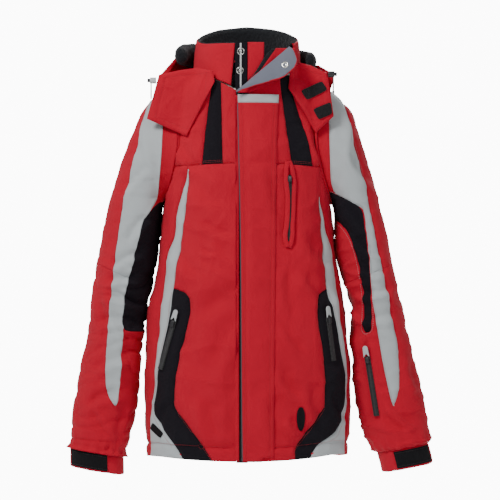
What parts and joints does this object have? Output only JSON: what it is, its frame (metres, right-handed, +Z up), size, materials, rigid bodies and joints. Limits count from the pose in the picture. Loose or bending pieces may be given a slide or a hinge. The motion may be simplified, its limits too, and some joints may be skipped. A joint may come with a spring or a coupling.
{
  "type": "ski jacket",
  "caption": "Insulated ski jacket with stand collar, detachable hood, storm flap over the front zip and hook-tab cuffs.",
  "frame": {"origin": "middle of the underside of the hanging loop inside the back of the collar, where a hook carries the jacket", "axes": "+Z up along the body, +Y towards the back, +X towards the wearer's left"},
  "size_m": [0.701, 0.306, 0.8656],
  "materials": {
    "shell_red": "woven polyester shell, matte with a slight sheen",
    "silver_grey": "silver-grey woven shell, soft sheen",
    "ribbed_black": "black ribbed dobby weave",
    "wadding": "polyester wadding",
    "lining": "smooth taffeta",
    "fleece": "brushed fleece",
    "flap_facing": "blue-grey facing cloth",
    "zip_black": "coil zip tape",
    "snap_metal": "nickel-plated brass",
    "pull_grey": "moulded rubbery plastic",
    "lock_silver": "silver-grey moulded plastic",
    "lock_black": "moulded plastic",
    "cord": "braided elastic cord"
  },
  "bodies": {
    "root": {"right_front_panel": "shell_red", "right_pocket_panel": "ribbed_black", "right_side_stripe": "silver_grey", "right_side_panel": "shell_red", "right_yoke_front": "shell_red", "right_yoke_stripe": "ribbed_black", "right_yoke_side": "shell_red", "left_front_panel": "shell_red", "left_pocket_panel": "ribbed_black", "left_side_stripe": "silver_grey", "left_side_panel": "shell_red", "left_yoke_front": "shell_red", "left_yoke_stripe": "ribbed_black", "left_yoke_side": "shell_red", "back_panel": "shell_red", "insulation": "wadding", "body_lining": "lining", "front_zip": "zip_black", "collar_shell": "shell_red", "collar_lining": "fleece", "collar_guard": "shell_red", "collar_lapel": "shell_red", "lower_snap_stud": "snap_metal", "upper_snap_stud": "snap_metal", "right_sleeve_head": "shell_red", "left_sleeve_head": "shell_red", "right_pocket_zip": "zip_black", "left_pocket_zip": "zip_black", "chest_pocket_zip": "zip_black", "hang_loop": "zip_black"},
    "storm_flap": {"storm_flap": "shell_red"},
    "zip_slider": {"zip_slider": "snap_metal"},
    "collar_flap": {"collar_flap": "flap_facing", "snap_socket": "snap_metal"},
    "right_upper_sleeve": {"right_upper_sleeve": "shell_red"},
    "right_forearm": {"right_forearm": "shell_red", "right_cuff": "shell_red"},
    "right_cuff_tab": {"right_cuff_tab": "ribbed_black"},
    "left_upper_sleeve": {"left_upper_sleeve": "shell_red"},
    "left_forearm": {"left_forearm": "shell_red", "left_cuff": "shell_red", "sleeve_pocket_zip": "zip_black"},
    "left_cuff_tab": {"left_cuff_tab": "ribbed_black"},
    "right_pocket_slider": {"right_pocket_slider": "zip_black"},
    "right_pocket_pull": {"right_pocket_pull": "pull_grey"},
    "left_pocket_slider": {"left_pocket_slider": "zip_black"},
    "left_pocket_pull": {"left_pocket_pull": "pull_grey"},
    "chest_pocket_slider": {"chest_pocket_slider": "zip_black"},
    "sleeve_pocket_slider": {"sleeve_pocket_slider": "zip_black"},
    "sleeve_pocket_pull": {"sleeve_pocket_pull": "pull_grey"},
    "hood": {"hood_lining": "fleece", "hood_shell": "shell_red", "right_hood_flap": "shell_red", "left_hood_flap": "shell_red", "right_cord_lock": "lock_silver", "right_cord_loop": "cord", "left_cord_lock": "lock_black", "left_cord_loop": "cord"},
    "right_lock_button": {"right_lock_button": "lock_black"},
    "left_lock_button": {"left_lock_button": "lock_black"}
  },
  "joints": [
    {"name": "storm_flap_hinge", "type": "hinge", "parent": "root", "child": "storm_flap", "pos_m": [0.066, -0.18751, -0.7584], "axis": [0, 0.0558, 0.9984], "range_deg": [0, 105]},
    {"name": "front_zip_slide", "type": "slide", "parent": "root", "child": "zip_slider", "axis": [0, 0.0479, 0.9988], "range_m": [-0.655, 0]},
    {"name": "collar_flap_hinge", "type": "hinge", "parent": "root", "child": "collar_flap", "pos_m": [-0.01933, -0.16455, -0.05635], "axis": [-0.7547, -0.1398, -0.6411], "range_deg": [0, 150]},
    {"name": "right_shoulder", "type": "hinge", "parent": "root", "child": "right_upper_sleeve", "pos_m": [-0.205, -0.04357, -0.0884], "axis": [0, 1, 0], "range_deg": [0, 50]},
    {"name": "right_elbow", "type": "hinge", "parent": "right_upper_sleeve", "child": "right_forearm", "pos_m": [-0.2495, -0.11197, -0.4644], "axis": [-0.9972, 0, 0.0746], "range_deg": [0, 80]},
    {"name": "right_cuff_tab_hinge", "type": "hinge", "parent": "right_forearm", "child": "right_cuff_tab", "pos_m": [-0.33782, -0.08697, -0.75455], "axis": [0.0286, 0, -0.9996], "range_deg": [0, 80]},
    {"name": "left_shoulder", "type": "hinge", "parent": "root", "child": "left_upper_sleeve", "pos_m": [0.203, -0.04357, -0.0864], "axis": [0, -1, 0], "range_deg": [0, 50]},
    {"name": "left_elbow", "type": "hinge", "parent": "left_upper_sleeve", "child": "left_forearm", "pos_m": [0.2475, -0.11197, -0.4644], "axis": [-0.9963, 0, -0.0857], "range_deg": [0, 80]},
    {"name": "left_cuff_tab_hinge", "type": "hinge", "parent": "left_forearm", "child": "left_cuff_tab", "pos_m": [0.34991, -0.08697, -0.74713], "axis": [-0.2425, 0, 0.9701], "range_deg": [0, 80]},
    {"name": "right_pocket_slide", "type": "slide", "parent": "root", "child": "right_pocket_slider", "axis": [-0.2739, 0.1248, -0.9536], "range_m": [0, 0.083]},
    {"name": "right_pocket_pull_hinge", "type": "hinge", "parent": "right_pocket_slider", "child": "right_pocket_pull", "pos_m": [-0.1427, -0.15002, -0.49149], "axis": [0.7714, -0.5637, -0.2953], "range_deg": [0, 140]},
    {"name": "left_pocket_slide", "type": "slide", "parent": "root", "child": "left_pocket_slider", "axis": [0.1298, 0.0123, -0.9915], "range_m": [0, 0.069]},
    {"name": "left_pocket_pull_hinge", "type": "hinge", "parent": "left_pocket_slider", "child": "left_pocket_pull", "pos_m": [0.15781, -0.13764, -0.48545], "axis": [0.727, 0.6788, 0.1036], "range_deg": [0, 140]},
    {"name": "chest_pocket_slide", "type": "slide", "parent": "root", "child": "chest_pocket_slider", "axis": [0.0079, -0.0507, -0.9987], "range_m": [0, 0.11]},
    {"name": "sleeve_pocket_slide", "type": "slide", "parent": "left_forearm", "child": "sleeve_pocket_slider", "axis": [0.1559, -0.0243, -0.9875], "range_m": [0, 0.099]},
    {"name": "sleeve_pocket_pull_hinge", "type": "hinge", "parent": "sleeve_pocket_slider", "child": "sleeve_pocket_pull", "pos_m": [0.2268, -0.11314, -0.56234], "axis": [0.8985, -0.4119, 0.152], "range_deg": [0, 140]},
    {"name": "hood_lift", "type": "slide", "parent": "root", "child": "hood", "axis": [0, 0, 1], "range_m": [0, 0.3]},
    {"name": "right_lock_press", "type": "slide", "parent": "hood", "child": "right_lock_button", "axis": [1, 0, 0], "range_m": [0, 0.003], "stiffness_N_per_m": 400},
    {"name": "left_lock_press", "type": "slide", "parent": "hood", "child": "left_lock_button", "axis": [-1, 0, 0], "range_m": [0, 0.003], "stiffness_N_per_m": 400}
  ]
}
